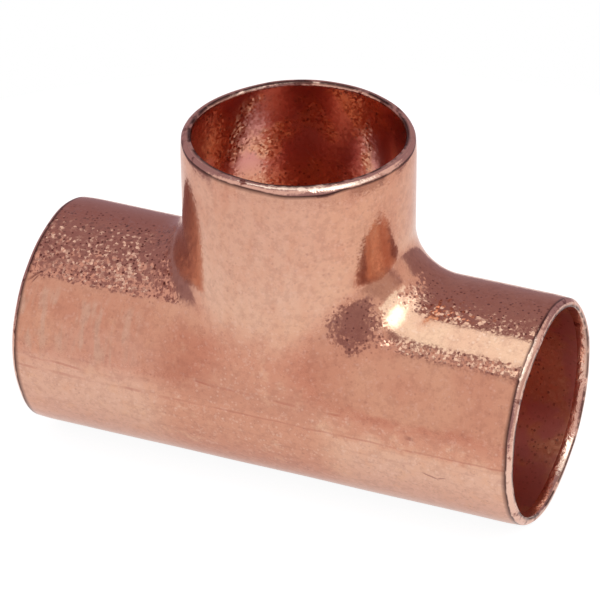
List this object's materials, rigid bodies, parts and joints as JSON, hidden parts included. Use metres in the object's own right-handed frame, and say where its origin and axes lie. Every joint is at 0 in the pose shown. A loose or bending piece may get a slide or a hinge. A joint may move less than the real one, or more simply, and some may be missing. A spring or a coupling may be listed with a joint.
{
  "type": "tee fitting",
  "caption": "Equal copper tee with plain solder cups: a straight run with a branch of the same size rising square from its middle, joined by smooth rounded crotches.",
  "frame": {"origin": "on the plane the tee stands on, straight below the point where the centre lines of the run and the branch cross", "axes": "+X along the run, +Z along the branch towards its mouth, Y across both"},
  "size_m": [0.0414, 0.0178, 0.0287],
  "materials": {
    "copper": "bare copper, tumbled satin, with light draw lines and small pits; redder and darker inside the cups"
  },
  "bodies": {
    "root": {"tee_body": "copper"}
  },
  "joints": []
}
